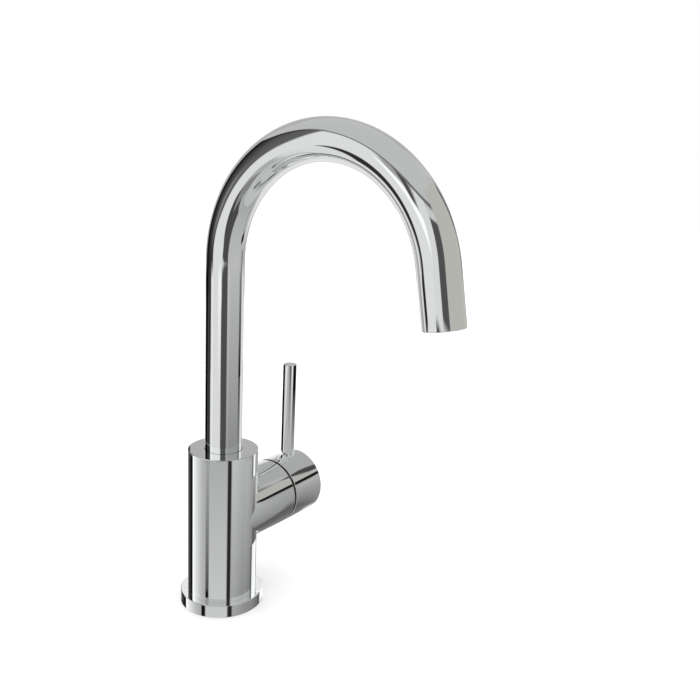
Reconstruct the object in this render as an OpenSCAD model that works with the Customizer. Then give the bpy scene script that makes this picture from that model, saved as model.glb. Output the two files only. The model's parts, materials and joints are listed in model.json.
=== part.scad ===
// Single-hole lavatory faucet with a side handle and a gooseneck spout.
// Frame: origin on the barrel's axis at the deck, +Z up, the spout reaches toward -Y,
// and the handle housing points toward +X.

/* [Base ring] */
// Radius of the base ring
base_r = 28.8; // [27.5:0.1:34]
// Height of the base ring
base_h = 8.6; // [7.5:0.1:14]
// Radius of the hole through the base ring
base_bore_r = 17.5; // [16.8:0.1:18.5]
// Thickness of the foot gasket
gasket_t = 2.0; // [1:0.1:2.6]
// Width of the foot gasket
gasket_w = 4.7; // [3:0.1:4.9]
// Rim of the base ring outside the foot gasket
base_rim = 2.3; // [1.8:0.1:2.6]

/* [Body] */
// Radius of the barrel, the side housing and the handle cap
body_r = 24.0; // [23.2:0.1:25.5]
// Height of the barrel's top face above the deck
body_top = 112.7; // [108:0.1:130]
// Height of the handle's axis above the deck
handle_z = 64.1; // [60:0.1:68]
// Distance from the barrel's axis to the end of the side housing
housing_len = 51.3; // [51:0.1:56]
// Radius of the spigot that centres the barrel on the base ring
spigot_r = 20.9; // [19:0.1:21.2]
// Depth of the base ring's recess for the spigot
spigot_recess = 4.6; // [2:0.1:4.8]
// Edge break on the outside edges
edge_break = 0.4; // [0.2:0.05:0.8]

/* [Supply sockets] */
// Radius of the recess under the barrel
recess_r = 16.5; // [16:0.1:17]
// Height of the recess's roof above the deck
recess_top = 16.0; // [12:0.1:20]
// Radius of the two supply sockets
socket_r = 5.0; // [4:0.05:5.2]
// Depth of the sockets and of the stud hole
socket_depth = 12.0; // [9:0.1:14]
// Radius of the mounting stud's hole
stud_r = 4.0; // [3:0.05:5]
// Distance from the barrel's axis to the stud hole
stud_x = 10.0; // [8.5:0.1:10.5]
// Distance from the barrel's axis back to the supply sockets
supply_x = 3.0; // [2:0.1:4]

/* [Waterways] */
// Radius of the two supply passages
inlet_r = 3.0; // [2:0.05:3.2]
// Distance sideways from the handle's axis to each supply port
inlet_side = 9.2; // [9:0.05:9.5]
// Drop from the handle's axis to the supply ports
inlet_drop = 4.0; // [3.6:0.05:4.4]
// Radius of the outlet passage
outlet_r = 3.8; // [3:0.05:4]

/* [Spout] */
// Radius of the spout's tube
tube_r = 12.7; // [12.2:0.05:13]
// Wall of the spout's tube
tube_wall = 1.2; // [1:0.05:1.5]
// Height of the bend's centre above the deck
bend_z = 241.8; // [180:0.5:300]
// Radius of the bend along the tube's centre line
bend_r = 78.7; // [60:0.1:110]
// Angle of the bend
bend_angle = 169.7; // [150:0.1:180]
// Length of the straight tip from the end of the bend to the outlet
tip_len = 34.7; // [20:0.1:80]
// Swing of the spout to each side
spout_swing = 60; // [20:1:100]

/* [Spout bearing] */
// Depth of the bore in the barrel's top
spout_bore_depth = 30.9; // [30:0.1:36]
// Radial gap between the tube and that bore
spout_gap = 0.3; // [0.2:0.05:0.4]
// Height of each slide ring's collar
slide_ring_h = 4.0; // [3:0.1:4.6]
// Radial thickness of the slide rings
slide_ring_t = 1.3; // [1:0.05:1.6]
// Thickness of the lower slide ring's flange
slide_flange_t = 1.2; // [0.8:0.1:1.8]
// Cord of the spout's sealing rings
spout_cord = 2.0; // [1.6:0.05:2.2]
// Band of full radius between the ferrule's grooves
ferrule_land = 1.2; // [0.8:0.05:1.4]
// Radius of the ferrule's waterway
ferrule_bore_r = 8.0; // [6:0.1:8.6]
// Length of the ferrule's spigot inside the tube
ferrule_spigot = 8.0; // [5:0.1:14]
// Radius of the stop screw
stop_screw_r = 2.5; // [2:0.05:3]
// Radius of the stop screw's tip
stop_tip_r = 1.6; // [1.2:0.05:1.7]
// Depth of the ferrule's groove for the tip
stop_depth = 2.2; // [1.5:0.05:2.4]

/* [Cartridge] */
// Depth of the cartridge's seat in the side housing
cartridge_depth = 35.8; // [35.6:0.1:36.1]
// Radius of the cartridge
cartridge_r = 17.5; // [17.2:0.05:17.7]
// Thickness of the cartridge's base
base_plate_t = 4.3; // [4:0.1:4.5]
// Thickness of each ceramic disc
disc_t = 3.6; // [3.2:0.05:3.7]
// Radius of the fixed disc
fixed_disc_r = 14.6; // [14.4:0.05:14.8]
// Radius of the moving disc and its carrier
moving_disc_r = 14.0; // [13.8:0.05:14.3]
// Thickness of the disc carrier
carrier_t = 4.0; // [3.8:0.1:4.2]
// Thickness of the spindle's flange
flange_t = 3.4; // [3:0.1:3.5]
// Radius of the spindle
spindle_r = 6.0; // [5.8:0.05:6.3]
// Width of the spindle's square end
square_w = 8.0; // [7:0.05:8.1]
// Cord of the spindle's sealing ring
spindle_cord = 1.6; // [1.2:0.05:1.7]
// Wall of the cartridge's crown over the spindle's flange
crown_t = 3.5; // [2.5:0.1:3.6]
// Radius of the cartridge's neck
neck_r = 11.0; // [10:0.1:11.5]
// Length of the cartridge's neck
neck_len = 10.0; // [9.6:0.1:10.4]
// Radius of the ring nut's thread
nut_r = 19.0; // [18.5:0.05:19.5]
// Length of the ring nut's thread
nut_thread_len = 5.5; // [4:0.1:6]
// Height of the ring nut's hexagon
nut_hex_h = 3.4; // [2:0.1:3.6]
// Width of the ring nut's hexagon across its flats
nut_hex_w = 30.0; // [27:0.5:32]

/* [Handle] */
// Gap between the side housing and the handle cap
handle_gap = 2.0; // [1.4:0.05:2.6]
// Length of the handle cap
cap_len = 29.8; // [27:0.1:36]
// Turn of the handle from shut to fully open
handle_turn = 100; // [60:1:110]
// Distance from the cap's inner face to the lever's axis
lever_offset = 17.5; // [16.8:0.1:20]
// Radius of the lever
lever_r = 5.0; // [4:0.05:5.6]
// Height of the lever's top above the cap
lever_rise = 71.1; // [40:0.5:100]
// Depth that the lever sits in the cap
lever_seat = 8.0; // [5:0.1:9]
// Radius of the lever's threaded stud
lever_stud_r = 3.0; // [2.5:0.05:3.5]
// Length of the lever's threaded stud
lever_stud_len = 7.0; // [5:0.1:7.6]
// Wall between the cap's hollow and the lever's seat
cap_web = 3.8; // [2:0.1:4.4]
// Wall of the cap's skirt
cap_skirt = 3.5; // [3.3:0.1:4]
// Radius of the cap's hub round the spindle
hub_r = 10.0; // [8.5:0.1:13]
// Radius of the set screw under the cap
set_screw_r = 2.0; // [1.5:0.05:2.2]
// Length of the set screw
set_screw_len = 8.0; // [5:0.1:12]
// Distance from the cap's inner face to the set screw
set_screw_offset = 11.3; // [11:0.1:11.8]
// Length of the plug over the set screw
plug_len = 3.4; // [2:0.1:6]

/* [Glide ring] */
// Set-back of the glide ring's flange from the outside
glide_setback = 1.2; // [0.8:0.1:1.8]
// Radius of the glide ring's seat in the housing
glide_seat_r = 21.0; // [20:0.05:21.6]
// Depth of the glide ring's seat
glide_seat_depth = 2.6; // [2:0.1:2.8]
// Length of the collar that the cap turns on
glide_collar = 2.6; // [1.5:0.1:5]
// Wall of that collar
glide_wall = 1.45; // [1:0.05:1.6]

/* [Aerator] */
// Radius of the aerator's thread in the tip
aerator_r = 10.75; // [10:0.05:11]
// Depth of the aerator's seat in the tip
aerator_depth = 12.0; // [11.2:0.1:13]
// Radius of the waterway above the aerator
tip_bore_r = 9.4; // [8:0.05:9.8]
// Length of the tip's spigot inside the tube
tip_spigot = 4.0; // [2.5:0.1:6]
// Thickness of the aerator's washer
washer_t = 1.5; // [1:0.1:2]
// Set-back of the aerator from the outlet's face
aerator_setback = 0.8; // [0.4:0.1:1.2]
// Wall of the aerator's housing
aerator_wall = 1.55; // [1.3:0.05:1.8]
// Thickness of the outlet grid
grid_t = 3.0; // [2:0.1:3.4]
// Spacing of the outlet grid's cells
grid_pitch = 1.9; // [1.7:0.05:2.6]
// Wall between the outlet grid's cells
grid_wall = 0.4; // [0.3:0.05:0.6]
// Thickness of the flow regulator
regulator_t = 2.6; // [2:0.1:3]
// Rise of the domed inlet screen
screen_rise = 1.2; // [0.8:0.1:1.4]
// Thickness of the inlet screen
screen_t = 0.4; // [0.3:0.05:0.5]

/* [Hidden] */
$fn = 96;

// General clearances
over = 1;         // how far a cut runs past the face it opens
slip = 0.05;      // radial clearance of threads, plugs and running fits
bore_step = 0.25; // each upright passage is this much wider than the one that meets it
loose = 0.3;      // clearance between pieces that only lie side by side
face_gap = 0.15;  // clearance between faces that turn past each other

// Base ring and spigot
gasket_out_r = base_r - base_rim;
gasket_in_r = gasket_out_r - gasket_w;
spigot_z = base_h - spigot_recess + loose;

// Spout bearing, as heights above the floor of its bore
spout_floor = body_top - spout_bore_depth;
spout_bore_r = tube_r + spout_gap;
ring_groove_r = spout_bore_r - slip - slide_ring_t - slip;
seal_groove_r = spout_bore_r - 2 * slip - spout_cord;
seal_groove_h = spout_cord + 2 * loose;
stop_groove_h = 2 * (stop_tip_r + loose);
stop_floor_r = tube_r - stop_depth;
lower_ring_top = slide_flange_t + slide_ring_h;
seal_1_z = lower_ring_top + ferrule_land;
seal_2_z = seal_1_z + seal_groove_h + ferrule_land;
stop_groove_z = seal_2_z + seal_groove_h + ferrule_land;
upper_groove_z = stop_groove_z + stop_groove_h + ferrule_land;
upper_groove_h = slide_ring_h + 2 * slip;
tube_foot = upper_groove_z + upper_groove_h + ferrule_land;
stop_z = spout_floor + stop_groove_z + stop_groove_h / 2;
stop_tip_end = stop_floor_r + loose;
stop_slack = 1.5;  // degrees past each end of the swing
stop_half = spout_swing + atan2(stop_tip_r, stop_tip_end) + stop_slack;
stop_foot = spout_bore_r + loose;
stop_head = body_r - 2 * loose;
stop_key = 2.5;    // hexagon sockets of the two grub screws, across their flats
set_key = 2.0;
key_depth = 2.4;
split_w = 1.2;     // slit in the upper slide ring

// Cartridge, as distances along the handle's axis from its seat
seat_x = housing_len - cartridge_depth;
cartridge_gap = 0.3;                      // between seat and base, taken up by the port seals
seal_bite = 1.4;                          // depth of the seals' pockets
base_top = cartridge_gap + base_plate_t;
disc_lift = 0.8;                          // the disc seals hold the fixed disc off the base
fixed_z = base_top + disc_lift;
moving_z = fixed_z + disc_t;
carrier_z = moving_z + disc_t;
carrier_top = carrier_z + carrier_t;
carrier_gap = 0.2;                        // between the carrier and the spindle's flange
flange_z = carrier_top + carrier_gap;
flange_top = flange_z + flange_t;
chamber_top = flange_top + loose;
crown_top = chamber_top + crown_t;
neck_top = crown_top + neck_len;
disc_room = 0.4;                          // between the fixed disc and the shell
cavity_r = fixed_disc_r + disc_room;
cartridge_bore_r = cartridge_r + loose;
nut_bore_z = crown_top - over;
seal_wall = 1.2;                          // width of the port and disc seals
port_r = norm([inlet_drop, inlet_side]);  // distance of the supply ports from the handle's axis
port_angle = atan2(inlet_side, inlet_drop);
port_half = asin(inlet_r / port_r);
pin_r = 1.5;                              // locating pins under the cartridge's base
pin_len = 2.2;
pin_x = -6.0;
pin_y = 11.0;
key_w = 3.0;                              // keys that hold the fixed disc and drive the moving one
key_t = 1.5;
drive_angle = 115;
tenon_w = 6.0;                            // tenon that turns the carrier
tenon_len = 20.0;
tenon_h = 2.8;
pocket_t = 2.0;                           // depth of the moving disc's mixing pocket
lobe_w = 45;                              // width of each lobe of the pocket, in degrees
lobe_r = port_r + inlet_r;
lap = 2;                                  // turn before the cold port starts to open
hot_start = 47;                           // turn at which the hot port starts to open
cold_lobe = port_angle - port_half - lap;
hot_lobe = 360 - port_angle - port_half - hot_start;
flange_r = 9.6;                           // flange of the spindle
spindle_groove_z = crown_top + 2 * loose;
spindle_groove_r = spindle_r - spindle_cord - slip;
lug_r = 13.0;                             // stop lug on the spindle's flange
lug_half = 10;
lug_slack = 1;
lug_swing = lug_half + lug_slack;
up = 180;                                 // straight up, as an angle round the handle's axis

// Handle
cap_x = housing_len + handle_gap;
lever_x = cap_x + lever_offset;
lever_top = body_r + lever_rise;
hollow_depth = lever_offset - lever_r - cap_web;
hollow_r = body_r - cap_skirt;
socket_web = 0.5;                         // between the hub's square socket and the lever's stud
socket_len = lever_offset - lever_stud_r - socket_web;
spindle_end = cap_x + socket_len - seat_x - loose;
set_screw_x = cap_x + set_screw_offset;
set_screw_foot = square_w / 2 + slip;
plug_top = body_r - face_gap;

// Outlet, as depths above the outlet's face
tip_spigot_r = tube_r - tube_wall - slip - tip_spigot * tip_spigot / (2 * bend_r);  // clears the bend
aerator_top = aerator_depth - washer_t;
aerator_in_r = aerator_r - slip - aerator_wall;
lip_t = 0.8;                              // lip that holds the outlet grid
lip_w = 0.8;
insert_r = aerator_in_r - slip;
grid_foot = aerator_setback + lip_t;
regulator_foot = grid_foot + grid_t;
screen_foot = regulator_foot + regulator_t;
grid_rim = 1.1;
grid_cell_r = (grid_pitch - grid_wall) / 2 / cos(30);
grid_reach = insert_r - grid_rim - grid_cell_r;
grid_rows = ceil(grid_reach / grid_pitch) + 1;
regulator_holes = 12;
regulator_hole_r = 0.8;
regulator_dish_r = 3.6;
regulator_ring_r = (regulator_dish_r + insert_r) / 2;
screen_rim = 1.2;
key_slots = 4;                            // slots for the aerator's key
key_slot_w = 2.0;
key_slot_h = 0.6;

module turned_bar(r, h, low = 0, high = 0)
  rotate_extrude() polygon(concat(
    [[0, 0]],
    low > 0 ? [[r - low, 0], [r, low]] : [[r, 0]],
    high > 0 ? [[r, h - high], [r - high, h]] : [[r, h]],
    [[0, h]]));

module ring(r_out, r_in, h)
  rotate_extrude() translate([r_in, 0]) square([r_out - r_in, h]);

module sector(r_out, r_in, h, from, to)
  rotate([0, 0, from]) rotate_extrude(angle = to - from) translate([r_in, 0]) square([r_out - r_in, h]);

module sealing_ring(r, cord)
  rotate_extrude() translate([r, 0]) circle(d = cord);

// hexagon socket whose mouth is at the children's z = 0 and which runs down from there
module key_socket(w)
  translate([0, 0, -key_depth]) cylinder(r = w / 2 / cos(30), h = key_depth + over, $fn = 6);

// the children's z runs outward along the handle's axis, and their -x points up
module on_handle_axis(x)
  translate([x, 0, handle_z]) rotate([0, 90, 0]) children();

// the children's z points up, from r above the handle's axis
module above_handle(x, r)
  translate([x, 0, handle_z + r]) children();

// the children's z points down, from r below the handle's axis
module below_handle(x, r)
  translate([x, 0, handle_z - r]) rotate([180, 0, 0]) children();

module on_spout_floor(h)
  translate([0, 0, spout_floor + h]) children();

// the children's z runs out through the back of the barrel, from r off its axis
module on_stop_screw(r)
  translate([0, r, stop_z]) rotate([-90, 0, 0]) children();

// the children's z runs with the water, from d past the end of the bend
module past_bend(d)
  translate([0, -bend_r, bend_z]) rotate([bend_angle, 0, 0]) translate([0, bend_r, d]) children();

// the same, from h above the outlet's face
module above_outlet(h)
  past_bend(tip_len - h) children();

module at_inlets()
  for (side = [-1, 1]) translate([inlet_drop, side * inlet_side, 0]) children();

// the two supply ports and the outlet port, from z over a length h
module port_bores(extra, z, h) translate([0, 0, z]) {
  at_inlets() cylinder(r = inlet_r + extra, h = h);
  cylinder(r = outlet_r + extra, h = h);
}

module port_rings(z, h) translate([0, 0, z]) {
  at_inlets() ring(inlet_r + seal_wall, inlet_r, h);
  ring(outlet_r + seal_wall, outlet_r, h);
}

module base_ring() color("gainsboro") difference() {
  turned_bar(base_r, base_h, 0, edge_break);
  translate([0, 0, -over]) cylinder(r = base_bore_r, h = base_h + 2 * over);
  translate([0, 0, base_h - spigot_recess]) cylinder(r = spigot_r + 2 * slip, h = base_h);
  translate([0, 0, -over]) ring(gasket_out_r + slip, gasket_in_r - slip, gasket_t + over);
}

module base_gasket() color("dimgray")
  ring(gasket_out_r, gasket_in_r, gasket_t);

module body() color("gainsboro") difference() {
  union() {
    translate([0, 0, base_h]) turned_bar(body_r, body_top - base_h, 0, edge_break);
    translate([0, 0, spigot_z]) cylinder(r = spigot_r, h = base_h - spigot_z + over);
    on_handle_axis(0) turned_bar(body_r, housing_len, 0, edge_break);
  }
  supply_cuts();
  cartridge_cuts();
  spout_cuts();
}

module supply_cuts() {
  cylinder(r = recess_r, h = recess_top);
  translate([stud_x, 0, 0]) cylinder(r = stud_r, h = recess_top + socket_depth);
  for (side = [-1, 1]) translate([-supply_x, side * inlet_side, 0]) {
    cylinder(r = socket_r, h = recess_top + socket_depth);
    cylinder(r = inlet_r + bore_step, h = handle_z - inlet_drop);
  }
  on_handle_axis(-supply_x - inlet_r) at_inlets()
    cylinder(r = inlet_r, h = supply_x + inlet_r + seat_x + over);
}

module cartridge_cuts() on_handle_axis(seat_x) {
  cylinder(r = cartridge_bore_r, h = housing_len);
  translate([0, 0, nut_bore_z]) cylinder(r = nut_r, h = housing_len);
  translate([0, 0, housing_len - seat_x - glide_seat_depth]) cylinder(r = glide_seat_r, h = housing_len);
  at_pins() translate([0, 0, -pin_len - loose]) cylinder(r = pin_r + slip, h = pin_len + over);
}

module spout_cuts() {
  on_spout_floor(0) cylinder(r = spout_bore_r, h = spout_bore_depth + over);
  translate([0, 0, handle_z]) cylinder(r = outlet_r + bore_step, h = spout_floor - handle_z + over);
  on_handle_axis(-outlet_r) cylinder(r = outlet_r, h = outlet_r + seat_x + over);
  on_stop_screw(0) cylinder(r = stop_screw_r + slip, h = body_r + over);
}

module at_pins()
  for (side = [-1, 1]) translate([pin_x, side * pin_y, 0]) children();

module spout_stop_screw() color("silver") difference() {
  union() {
    on_stop_screw(stop_tip_end) cylinder(r = stop_tip_r, h = stop_foot - stop_tip_end + over);
    on_stop_screw(stop_foot) cylinder(r = stop_screw_r, h = stop_head - stop_foot);
  }
  on_stop_screw(stop_head) key_socket(stop_key);
}

module cartridge_base() color("darkslategray") on_handle_axis(seat_x) difference() {
  union() {
    translate([0, 0, cartridge_gap]) cylinder(r = cartridge_r, h = base_plate_t);
    at_pins() translate([0, 0, -pin_len]) cylinder(r = pin_r, h = pin_len + base_plate_t);
    for (turn = [0, 180]) rotate([0, 0, turn]) translate([fixed_disc_r - key_t, -key_w / 2, base_top - over])
      cube([key_t, key_w, over + disc_lift + disc_t / 2 - slip]);
  }
  port_bores(0, -over, base_top + 2 * over);
  port_bores(seal_wall + slip, -over, over + cartridge_gap + seal_bite);
  port_bores(seal_wall + slip, base_top - seal_bite, seal_bite + over);
}

module port_seals() color("black") on_handle_axis(seat_x)
  port_rings(0, cartridge_gap + seal_bite);

module disc_seals() color("black") on_handle_axis(seat_x)
  port_rings(base_top - seal_bite, seal_bite + disc_lift);

module fixed_disc() color("ivory") on_handle_axis(seat_x) difference() {
  translate([0, 0, fixed_z]) cylinder(r = fixed_disc_r, h = disc_t);
  port_bores(0, fixed_z - over, disc_t + 2 * over);
  for (turn = [0, 180]) rotate([0, 0, turn])
    translate([fixed_disc_r - key_t - slip, -key_w / 2 - slip, fixed_z - over])
      cube([key_t + over, key_w + 2 * slip, over + disc_t / 2]);
}

module moving_disc() color("white") on_handle_axis(seat_x) difference() {
  translate([0, 0, moving_z]) cylinder(r = moving_disc_r, h = disc_t);
  translate([0, 0, moving_z - over]) {
    cylinder(r = outlet_r, h = over + pocket_t);
    sector(lobe_r, 0, over + pocket_t, cold_lobe - lobe_w, cold_lobe);
    sector(lobe_r, 0, over + pocket_t, hot_lobe - lobe_w, hot_lobe);
  }
  for (turn = [0, 180]) rotate([0, 0, drive_angle + turn])
    translate([moving_disc_r - key_t - slip, -key_w / 2 - slip, moving_z + disc_t / 2])
      cube([key_t + over, key_w + 2 * slip, disc_t]);
}

module disc_carrier() color("slategray") on_handle_axis(seat_x) difference() {
  union() {
    translate([0, 0, carrier_z]) cylinder(r = moving_disc_r, h = carrier_t);
    for (turn = [0, 180]) rotate([0, 0, drive_angle + turn])
      translate([moving_disc_r - key_t, -key_w / 2, carrier_z - disc_t / 2 + slip])
        cube([key_t - slip, key_w, disc_t / 2 + over]);
  }
  translate([-tenon_len / 2 - slip, -tenon_w / 2 - slip, flange_z - tenon_h - slip])
    cube([tenon_len + 2 * slip, tenon_w + 2 * slip, tenon_h + over]);
}

module cartridge_shell() color("dimgray") on_handle_axis(seat_x) difference() {
  union() {
    translate([0, 0, base_top]) cylinder(r = cartridge_r, h = crown_top - base_top);
    translate([0, 0, crown_top - over]) cylinder(r = neck_r, h = neck_len + over);
  }
  translate([0, 0, base_top - over]) cylinder(r = cavity_r, h = flange_z - base_top + over);
  translate([0, 0, flange_z - over]) cylinder(r = flange_r + loose, h = chamber_top - flange_z + over);
  translate([0, 0, flange_z - over])
    sector(lug_r + loose, 0, chamber_top - flange_z + over, up - lug_swing, up + handle_turn + lug_swing);
  cylinder(r = spindle_r + slip, h = neck_top + over);
}

module cartridge_spindle() color("goldenrod") on_handle_axis(seat_x) difference() {
  union() {
    translate([-tenon_len / 2, -tenon_w / 2, flange_z - tenon_h]) cube([tenon_len, tenon_w, tenon_h]);
    translate([0, 0, flange_z]) cylinder(r = flange_r, h = flange_t);
    translate([0, 0, flange_z]) sector(lug_r, 0, flange_t, up - lug_half, up + lug_half);
    translate([0, 0, flange_z]) cylinder(r = spindle_r, h = neck_top + over - flange_z);
    translate([-square_w / 2, -square_w / 2, neck_top]) cube([square_w, square_w, spindle_end - neck_top]);
  }
  translate([0, 0, spindle_groove_z]) ring(spindle_r + over, spindle_groove_r, spindle_cord + 2 * loose);
}

module spindle_o_ring() color("black") on_handle_axis(seat_x)
  translate([0, 0, spindle_groove_z + loose + spindle_cord / 2])
    sealing_ring(spindle_groove_r + slip + spindle_cord / 2, spindle_cord);

module cartridge_nut() color("goldenrod") on_handle_axis(seat_x) difference() {
  union() {
    translate([0, 0, crown_top]) cylinder(r = nut_r - slip, h = nut_thread_len);
    translate([0, 0, crown_top + nut_thread_len - over])
      cylinder(r = nut_hex_w / 2 / cos(30), h = nut_hex_h + over, $fn = 6);
  }
  cylinder(r = neck_r + loose, h = neck_top + over);
}

// seat in the housing, flange in the gap, and the collar that the cap turns on
module glide_ring() color("black") on_handle_axis(housing_len)
  rotate_extrude() polygon([
    [nut_r, -glide_seat_depth + slip], [glide_seat_r - slip, -glide_seat_depth + slip],
    [glide_seat_r - slip, 0], [body_r - glide_setback, 0],
    [body_r - glide_setback, handle_gap - face_gap], [hollow_r - slip, handle_gap - face_gap],
    [hollow_r - slip, handle_gap + glide_collar],
    [hollow_r - slip - glide_wall, handle_gap + glide_collar]]);

module handle_cap() color("gainsboro") difference() {
  on_handle_axis(cap_x) turned_bar(body_r, cap_len, edge_break, edge_break);
  on_handle_axis(cap_x - over) ring(hollow_r, hub_r, hollow_depth + over);
  on_handle_axis(cap_x - over) translate([-square_w / 2 - slip, -square_w / 2 - slip, 0])
    cube([square_w + 2 * slip, square_w + 2 * slip, socket_len + over]);
  above_handle(lever_x, body_r - lever_seat) cylinder(r = lever_r + slip, h = lever_seat + over);
  above_handle(lever_x, body_r - lever_seat - lever_stud_len - loose)
    cylinder(r = lever_stud_r, h = lever_stud_len + loose + over);
  below_handle(set_screw_x, 0) cylinder(r = set_screw_r, h = body_r + over);
}

module lever_pin() color("gainsboro") {
  above_handle(lever_x, body_r - lever_seat) turned_bar(lever_r, lever_seat + lever_rise, 0, edge_break);
  above_handle(lever_x, body_r - lever_seat - lever_stud_len)
    cylinder(r = lever_stud_r - slip, h = lever_stud_len + over);
}

module handle_set_screw() color("silver") difference() {
  below_handle(set_screw_x, set_screw_foot) cylinder(r = set_screw_r - slip, h = set_screw_len);
  below_handle(set_screw_x, set_screw_foot + set_screw_len) key_socket(set_key);
}

module handle_plug() color("lightgray")
  below_handle(set_screw_x, plug_top - plug_len) cylinder(r = set_screw_r - slip, h = plug_len);

module spout_tube() color("gainsboro") {
  on_spout_floor(tube_foot) ring(tube_r, tube_r - tube_wall, bend_z - spout_floor - tube_foot);
  translate([0, -bend_r, bend_z]) rotate([90, 0, 90]) rotate_extrude(angle = bend_angle)
    translate([bend_r, 0]) difference() {
      circle(r = tube_r);
      circle(r = tube_r - tube_wall);
    }
}

module spout_ferrule() color("goldenrod") on_spout_floor(0) difference() {
  union() {
    translate([0, 0, slide_flange_t]) cylinder(r = ring_groove_r, h = slide_ring_h + over);
    translate([0, 0, lower_ring_top]) cylinder(r = tube_r, h = tube_foot - lower_ring_top);
    translate([0, 0, tube_foot - over]) cylinder(r = tube_r - tube_wall - slip, h = ferrule_spigot + over);
  }
  cylinder(r = ferrule_bore_r, h = tube_foot + ferrule_spigot + over);
  for (z = [seal_1_z, seal_2_z]) translate([0, 0, z]) ring(tube_r + over, seal_groove_r, seal_groove_h);
  translate([0, 0, upper_groove_z]) ring(tube_r + over, ring_groove_r, upper_groove_h);
  translate([0, 0, stop_groove_z])
    sector(tube_r + over, stop_floor_r, stop_groove_h, 90 - stop_half, 90 + stop_half);
}

module spout_o_rings() color("black")
  for (z = [seal_1_z, seal_2_z]) on_spout_floor(z + seal_groove_h / 2)
    sealing_ring(seal_groove_r + slip + spout_cord / 2, spout_cord);

module upper_slide_ring() color("whitesmoke") on_spout_floor(upper_groove_z + slip) difference() {
  ring(spout_bore_r - slip, ring_groove_r + slip, slide_ring_h);
  translate([0, -split_w / 2, -over]) cube([spout_bore_r, split_w, slide_ring_h + 2 * over]);
}

module lower_slide_ring() color("whitesmoke") on_spout_floor(0) {
  ring(spout_bore_r - slip, ferrule_bore_r, slide_flange_t);
  translate([0, 0, slide_flange_t]) ring(spout_bore_r - slip, ring_groove_r + slip, slide_ring_h - slip);
}

module outlet_tip() color("gainsboro") past_bend(0) difference() {
  union() {
    turned_bar(tube_r, tip_len, 0, edge_break);
    translate([0, 0, -tip_spigot]) cylinder(r = tip_spigot_r, h = tip_spigot + over);
  }
  translate([0, 0, -tip_spigot - over]) cylinder(r = tip_bore_r, h = tip_len + tip_spigot + 2 * over);
  translate([0, 0, tip_len - aerator_depth]) cylinder(r = aerator_r, h = aerator_depth + over);
}

module aerator_washer() color("black") above_outlet(aerator_depth)
  ring(aerator_r - slip, tip_bore_r, washer_t);

// threaded sleeve with a lip under the grid and slots for its key
module aerator_housing() color("lightgray") above_outlet(aerator_top) difference() {
  ring(aerator_r - slip, aerator_in_r - lip_w, aerator_top - aerator_setback);
  translate([0, 0, -over]) cylinder(r = aerator_in_r, h = aerator_top - grid_foot + over);
  for (k = [0 : key_slots - 1]) rotate([0, 0, k * 360 / key_slots])
    translate([aerator_in_r - lip_w - over, -key_slot_w / 2, aerator_top - aerator_setback - key_slot_h])
      cube([aerator_wall + lip_w + 2 * over, key_slot_w, key_slot_h + over]);
}

module outlet_grid() color("whitesmoke") above_outlet(grid_foot + grid_t) difference() {
  cylinder(r = insert_r, h = grid_t);
  for (i = [-grid_rows : grid_rows], j = [-grid_rows : grid_rows]) {
    x = (i + j / 2) * grid_pitch;
    y = j * grid_pitch * sin(60);
    if (norm([x, y]) < grid_reach) translate([x, y, -over]) rotate([0, 0, 30])
      cylinder(r = grid_cell_r, h = grid_t + 2 * over, $fn = 6);
  }
}

module flow_regulator() color("mediumseagreen") above_outlet(regulator_foot + regulator_t) difference() {
  cylinder(r = insert_r, h = regulator_t);
  translate([0, 0, -over]) cylinder(r = regulator_dish_r, h = over + regulator_t / 2);
  for (k = [0 : regulator_holes - 1]) rotate([0, 0, k * 360 / regulator_holes])
    translate([regulator_ring_r, 0, -over]) cylinder(r = regulator_hole_r, h = regulator_t + 2 * over);
}

module inlet_screen() color("silver") above_outlet(screen_foot) rotate([180, 0, 0])
  rotate_extrude() polygon([
    [0, screen_rise], [insert_r - screen_rim, 0], [insert_r, 0],
    [insert_r, screen_t], [insert_r - screen_rim, screen_t], [0, screen_rise + screen_t]]);

base_ring();
base_gasket();
body();
spout_stop_screw();
cartridge_base();
port_seals();
disc_seals();
fixed_disc();
cartridge_shell();
cartridge_nut();
glide_ring();
moving_disc();
disc_carrier();
cartridge_spindle();
spindle_o_ring();
handle_cap();
lever_pin();
handle_set_screw();
handle_plug();
spout_tube();
spout_ferrule();
spout_o_rings();
upper_slide_ring();
lower_slide_ring();
outlet_tip();
aerator_washer();
aerator_housing();
outlet_grid();
flow_regulator();
inlet_screen();
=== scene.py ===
import json
import math

import bpy
from mathutils import Matrix, Quaternion, Vector


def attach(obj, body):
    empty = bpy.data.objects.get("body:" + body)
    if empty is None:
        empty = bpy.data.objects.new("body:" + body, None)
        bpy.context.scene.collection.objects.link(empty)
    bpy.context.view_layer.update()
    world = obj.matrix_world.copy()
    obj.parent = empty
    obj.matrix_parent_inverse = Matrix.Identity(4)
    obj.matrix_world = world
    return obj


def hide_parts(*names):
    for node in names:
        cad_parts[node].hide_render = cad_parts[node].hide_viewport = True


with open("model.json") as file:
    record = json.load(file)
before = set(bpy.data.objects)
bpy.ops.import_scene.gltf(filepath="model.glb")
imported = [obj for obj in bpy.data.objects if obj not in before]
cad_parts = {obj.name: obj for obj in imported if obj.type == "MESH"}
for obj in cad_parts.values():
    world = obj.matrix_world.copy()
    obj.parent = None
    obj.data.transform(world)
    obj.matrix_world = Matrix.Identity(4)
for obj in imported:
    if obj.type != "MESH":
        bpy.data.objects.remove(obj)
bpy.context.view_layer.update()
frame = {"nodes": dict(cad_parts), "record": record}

bl_info = {
    "name": "Single-hole lavatory faucet",
    "version": (1, 0, 0),
    "blender": (4, 5, 0),
    "location": "3D View > Sidebar > Faucet",
    "description": "Models and finishes a round lavatory faucet around its packed CAD frame",
    "category": "Add Mesh",
}

MM = 0.001

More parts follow.
